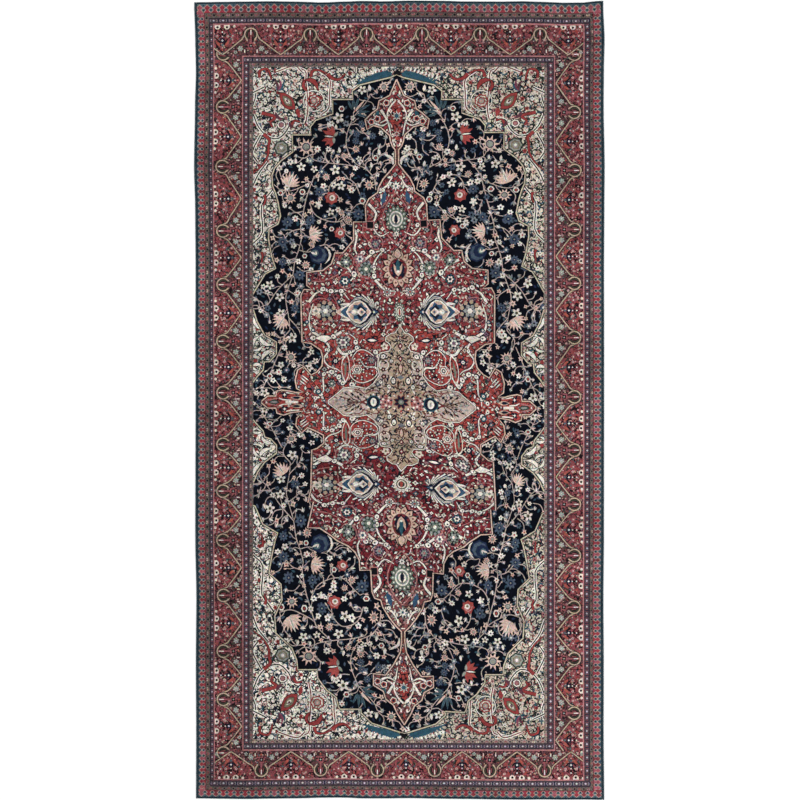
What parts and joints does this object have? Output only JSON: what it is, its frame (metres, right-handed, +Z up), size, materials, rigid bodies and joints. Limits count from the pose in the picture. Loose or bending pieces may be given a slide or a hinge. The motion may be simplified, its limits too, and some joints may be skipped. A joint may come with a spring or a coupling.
{
  "type": "persian rug",
  "caption": "Large hand-knotted wool carpet with central medallion, floral field and borders, lying flat, bound with dark overcast cords.",
  "frame": {"origin": "middle of the footprint, on the underside that rests on the floor", "axes": "+Y along the length towards the head end, +X across the width to the right, +Z up out of the pile"},
  "size_m": [3.065, 5.965, 0.009],
  "materials": {
    "wool_pile": "low, worn hand-knotted wool pile in madder red, navy, cream and small blues and greens, soft sheen",
    "overcast_wool": "dark blue-green wool wrapped round a cord, matt"
  },
  "bodies": {
    "root": {"knotted_carpet": "wool_pile", "selvedge_left": "overcast_wool", "selvedge_right": "overcast_wool", "end_stitches_foot": "overcast_wool", "end_stitches_head": "overcast_wool"}
  },
  "joints": []
}
